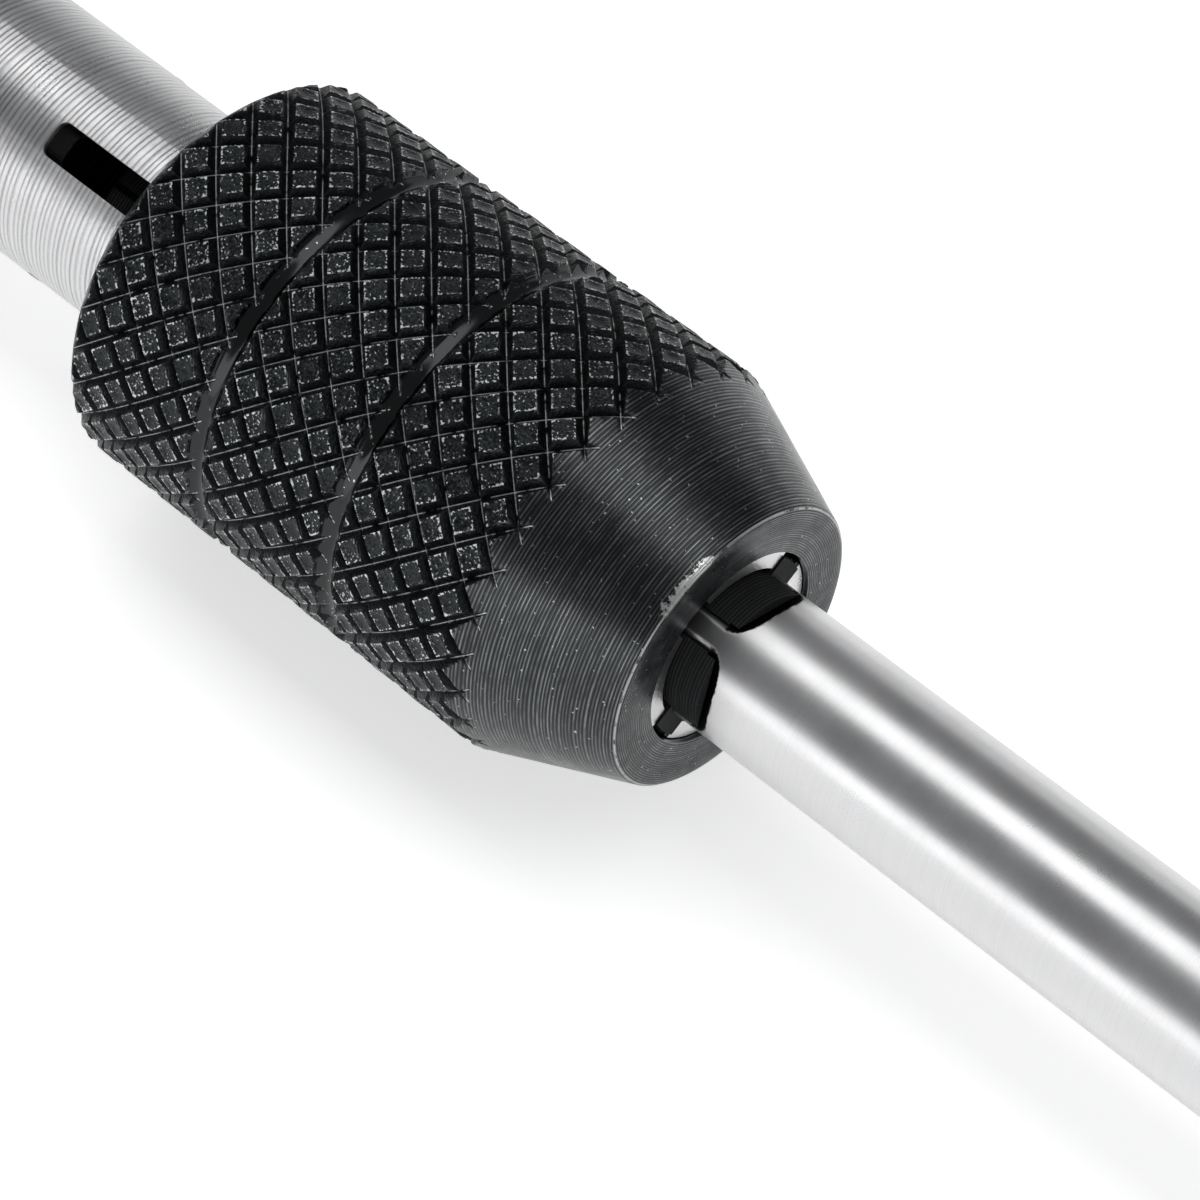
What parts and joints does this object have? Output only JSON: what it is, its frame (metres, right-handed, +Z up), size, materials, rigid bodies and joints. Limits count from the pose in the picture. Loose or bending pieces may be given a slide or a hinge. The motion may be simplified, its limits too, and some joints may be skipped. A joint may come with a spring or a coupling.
{
  "type": "tap wrench",
  "caption": "T-handle ratchet tap wrench with a sliding bar, a knurled two-jaw chuck and a clamped hand tap, lying on its side.",
  "frame": {"origin": "on the surface the wrench lies on, under the middle of its whole length and width", "axes": "+X along the main axis towards the cutting end of the tap, +Y along the sliding bar, +Z up"},
  "size_m": [0.158, 0.11, 0.0196],
  "materials": {
    "turned_steel": "turned, bright",
    "black_oxide": "black oxide, semi-gloss",
    "ground_steel": "ground, satin",
    "tool_steel": "hardened",
    "spring_steel": "drawn wire",
    "bright_ball": "polished"
  },
  "bodies": {
    "spindle": {"chuck_body": "turned_steel", "ratchet_wheel": "tool_steel", "wheel_key": "tool_steel", "spindle_washer": "tool_steel", "spindle_screw": "black_oxide", "jaw_springs": "spring_steel"},
    "guide_ring": {"sleeve_guide_ring": "tool_steel"},
    "sleeve": {"chuck_sleeve": "black_oxide"},
    "jaw_a": {"jaw_a": "black_oxide"},
    "jaw_b": {"jaw_b": "black_oxide"},
    "tap": {"tap": "ground_steel"},
    "head": {"handle_head": "turned_steel", "selector_ball": "bright_ball", "selector_spring": "spring_steel", "pawl_spring_a": "spring_steel", "pawl_spring_b": "spring_steel", "bar_plunger_body": "black_oxide", "bar_plunger_ball": "bright_ball", "bar_plunger_spring": "spring_steel"},
    "selector": {"selector_collar": "black_oxide"},
    "pawl_a": {"pawl_a": "tool_steel"},
    "pawl_b": {"pawl_b": "tool_steel"},
    "t_bar": {"t_bar": "ground_steel", "t_bar_knob_left": "black_oxide", "t_bar_knob_right": "black_oxide"}
  },
  "joints": [
    {"name": "sleeve_travel", "type": "slide", "parent": "spindle", "child": "guide_ring", "axis": [1, 0, 0], "range_m": [0, 0.001]},
    {"name": "sleeve_turn", "type": "hinge", "parent": "guide_ring", "child": "sleeve", "pos_m": [0, 0, 0.0098], "axis": [1, 0, 0], "range_deg": [0, 361]},
    {"name": "jaw_a_slide", "type": "slide", "parent": "spindle", "child": "jaw_a", "axis": [0, 0.866, 0.5], "range_m": [0, 0.00023]},
    {"name": "jaw_b_slide", "type": "slide", "parent": "spindle", "child": "jaw_b", "axis": [0, -0.866, -0.5], "range_m": [0, 0.00023]},
    {"name": "tap_slide", "type": "slide", "parent": "spindle", "child": "tap", "axis": [1, 0, 0], "range_m": [0, 0.03]},
    {"name": "head_turn", "type": "hinge", "parent": "spindle", "child": "head", "pos_m": [0, 0, 0.0098], "axis": [1, 0, 0], "continuous": true},
    {"name": "selector_turn", "type": "hinge", "parent": "head", "child": "selector", "pos_m": [0, 0, 0.0098], "axis": [1, 0, 0], "range_deg": [-25, 25]},
    {"name": "pawl_a_slide", "type": "slide", "parent": "head", "child": "pawl_a", "axis": [0, 0, 1], "range_m": [-0.00052, 0.00052], "deforming": ["pawl_spring_a"]},
    {"name": "pawl_b_slide", "type": "slide", "parent": "head", "child": "pawl_b", "axis": [0, 0, -1], "range_m": [-0.00052, 0.00052], "deforming": ["pawl_spring_b"]},
    {"name": "bar_slide", "type": "slide", "parent": "head", "child": "t_bar", "axis": [0, 1, 0], "range_m": [-0.035, 0.035]}
  ],
  "couplings": [
    {"joint": "sleeve_turn", "follows": "sleeve_travel", "rad_per_m": 6283.2},
    {"joint": "jaw_a_slide", "follows": "sleeve_travel", "ratio": 0.22169},
    {"joint": "jaw_b_slide", "follows": "sleeve_travel", "ratio": 0.22169},
    {"joint": "pawl_a_slide", "follows": "selector_turn", "m_per_rad": 0.0011459},
    {"joint": "pawl_b_slide", "follows": "selector_turn", "m_per_rad": -0.0011459}
  ]
}
